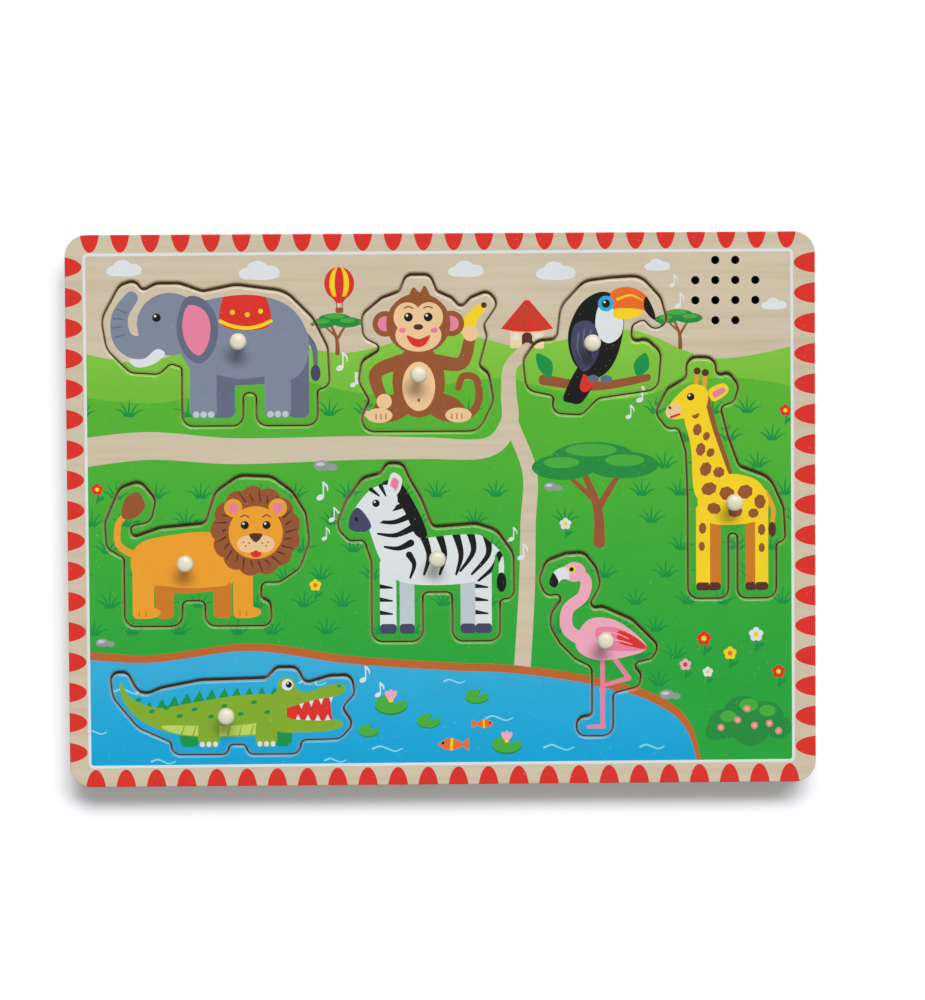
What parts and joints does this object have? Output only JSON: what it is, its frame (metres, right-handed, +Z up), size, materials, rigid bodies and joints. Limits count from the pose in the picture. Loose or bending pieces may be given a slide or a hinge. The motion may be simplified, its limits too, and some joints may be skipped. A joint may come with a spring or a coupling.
{
  "type": "sound puzzle",
  "caption": "Flat wooden sound puzzle board with lift-out knobbed animal pieces in shaped wells, sound holes and a battery door in its back.",
  "frame": {"origin": "centre of the board's underside", "axes": "+X to the right along the board's width, +Y to the rear (upper) edge, +Z up out of the printed face"},
  "size_m": [0.4, 0.295, 0.039],
  "materials": {
    "elephant_print": "printed and varnished plywood",
    "monkey_print": "printed and varnished plywood",
    "toucan_print": "printed and varnished plywood",
    "lion_print": "printed and varnished plywood",
    "zebra_print": "printed and varnished plywood",
    "giraffe_print": "printed and varnished plywood",
    "flamingo_print": "printed and varnished plywood",
    "crocodile_print": "printed and varnished plywood",
    "knob_wood": "cream gloss lacquer",
    "printed_face": "printed and varnished plywood",
    "plain_ply": "bare sanded plywood",
    "rail_wood": "bare sanded wood",
    "screw_steel": "zinc plated",
    "box_plastic": "fine grained",
    "cell_jacket": "shrink sleeve",
    "contact_metal": "nickel plated",
    "foam_ring": "foam",
    "cone_paper": "pressed paper",
    "magnet_black": "ferrite",
    "pcb_green": "solder mask",
    "resin_black": "resin",
    "capacitor_jacket": "shrink sleeve",
    "sensor_face": "clear resin",
    "cable_jacket": "flat cable"
  },
  "bodies": {
    "tray": {"face_board": "printed_face", "well_floor": "plain_ply", "rail_front": "rail_wood", "rail_rear": "rail_wood", "rail_left": "rail_wood", "rail_right": "rail_wood", "back_panel": "plain_ply", "panel_screws": "screw_steel", "battery_box": "box_plastic", "screw_sleeve": "box_plastic", "battery_cells": "cell_jacket", "contact_springs": "contact_metal", "contact_plates": "contact_metal", "speaker_gasket": "foam_ring", "speaker_frame": "screw_steel", "speaker_cone": "cone_paper", "speaker_magnet": "magnet_black", "circuit_board": "pcb_green", "sound_chip": "resin_black", "capacitors": "capacitor_jacket", "sensor_boards": "pcb_green", "light_sensors": "sensor_face", "wire_ribbons": "cable_jacket"},
    "elephant": {"elephant_piece": "elephant_print", "elephant_knob": "knob_wood"},
    "monkey": {"monkey_piece": "monkey_print", "monkey_knob": "knob_wood"},
    "toucan": {"toucan_piece": "toucan_print", "toucan_knob": "knob_wood"},
    "lion": {"lion_piece": "lion_print", "lion_knob": "knob_wood"},
    "zebra": {"zebra_piece": "zebra_print", "zebra_knob": "knob_wood"},
    "giraffe": {"giraffe_piece": "giraffe_print", "giraffe_knob": "knob_wood"},
    "flamingo": {"flamingo_piece": "flamingo_print", "flamingo_knob": "knob_wood"},
    "crocodile": {"crocodile_piece": "crocodile_print", "crocodile_knob": "knob_wood"},
    "battery_door": {"battery_cover": "box_plastic"},
    "door_screw": {"cover_screw": "screw_steel"}
  },
  "joints": [
    {"name": "elephant_lift", "type": "slide", "parent": "tray", "child": "elephant", "axis": [0, 0, 1], "range_m": [0, 0.04]},
    {"name": "monkey_lift", "type": "slide", "parent": "tray", "child": "monkey", "axis": [0, 0, 1], "range_m": [0, 0.04]},
    {"name": "toucan_lift", "type": "slide", "parent": "tray", "child": "toucan", "axis": [0, 0, 1], "range_m": [0, 0.04]},
    {"name": "lion_lift", "type": "slide", "parent": "tray", "child": "lion", "axis": [0, 0, 1], "range_m": [0, 0.04]},
    {"name": "zebra_lift", "type": "slide", "parent": "tray", "child": "zebra", "axis": [0, 0, 1], "range_m": [0, 0.04]},
    {"name": "giraffe_lift", "type": "slide", "parent": "tray", "child": "giraffe", "axis": [0, 0, 1], "range_m": [0, 0.04]},
    {"name": "flamingo_lift", "type": "slide", "parent": "tray", "child": "flamingo", "axis": [0, 0, 1], "range_m": [0, 0.04]},
    {"name": "crocodile_lift", "type": "slide", "parent": "tray", "child": "crocodile", "axis": [0, 0, 1], "range_m": [0, 0.04]},
    {"name": "battery_door_hinge", "type": "hinge", "parent": "tray", "child": "battery_door", "pos_m": [0.04375, -0.1005, 0.0013], "axis": [0, 1, 0], "range_deg": [0, 90]},
    {"name": "door_screw_turn", "type": "hinge", "parent": "battery_door", "child": "door_screw", "pos_m": [0.0978, -0.1005, 0.0013], "axis": [0, 0, 1], "continuous": true}
  ]
}
